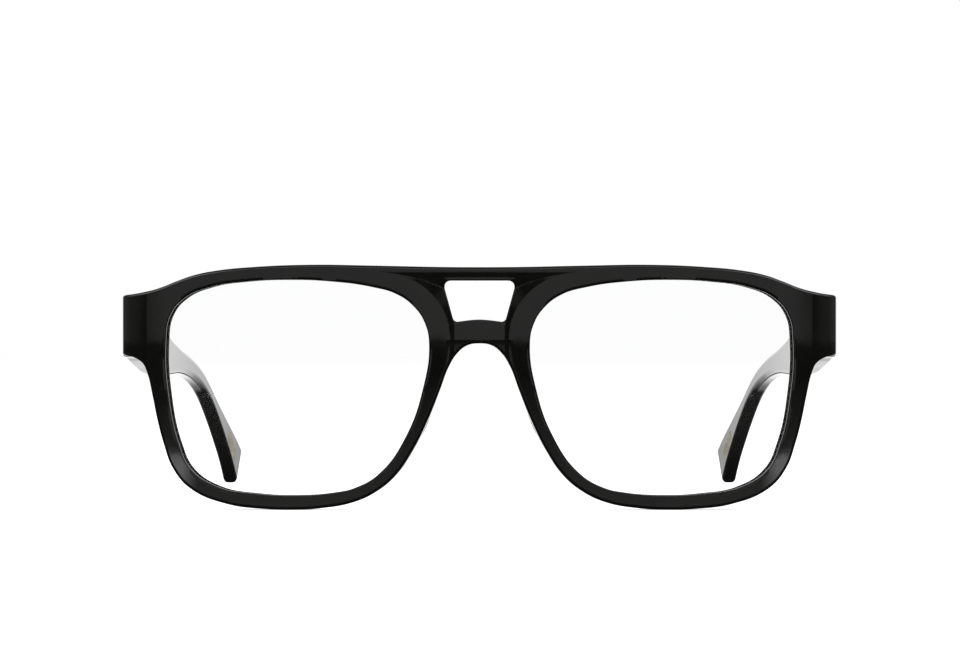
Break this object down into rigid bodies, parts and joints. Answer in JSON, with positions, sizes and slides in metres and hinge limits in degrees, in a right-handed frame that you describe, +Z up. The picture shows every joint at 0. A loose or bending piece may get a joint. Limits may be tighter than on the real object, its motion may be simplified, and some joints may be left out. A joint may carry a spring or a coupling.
{
  "type": "double bridge glasses",
  "caption": "Black acetate eyeglasses with a brow bar above the nose bridge, clear lenses and folding temples on screw hinges.",
  "frame": {"origin": "on the table under the middle of the open glasses' bounding box", "axes": "+X to the wearer's left, +Y from the front towards the ear tips, +Z up; the front's outer face looks along -Y"},
  "size_m": [0.1436, 0.1508, 0.0488],
  "materials": {
    "acetate_front": "polished",
    "acetate_temple": "polished",
    "acetate_pad": "polished",
    "lens": "clear, coated",
    "hinge_metal": "tumbled nickel silver",
    "screw_metal": "plain",
    "wire_metal": "plain",
    "gold": "satin gold"
  },
  "bodies": {
    "front": {"front_frame": "acetate_front", "lens_left": "lens", "lens_right": "lens", "nose_pad_left": "acetate_pad", "nose_pad_right": "acetate_pad", "front_hinge_left": "hinge_metal", "front_hinge_right": "hinge_metal", "hinge_screw_left": "screw_metal", "hinge_screw_right": "screw_metal"},
    "temple_arm_left": {"temple_left": "acetate_temple", "temple_hinge_left": "hinge_metal", "core_wire_left": "wire_metal", "tip_inlay_left": "gold"},
    "temple_arm_right": {"temple_right": "acetate_temple", "temple_hinge_right": "hinge_metal", "core_wire_right": "wire_metal", "tip_inlay_right": "gold"}
  },
  "joints": [
    {"name": "temple_fold_left", "type": "hinge", "parent": "front", "child": "temple_arm_left", "pos_m": [0.06585, -0.0604, 0.03635], "axis": [0, 0, 1], "range_deg": [0, 86.5]},
    {"name": "temple_fold_right", "type": "hinge", "parent": "front", "child": "temple_arm_right", "pos_m": [-0.06585, -0.0604, 0.03635], "axis": [0, 0, -1], "range_deg": [0, 81]}
  ]
}
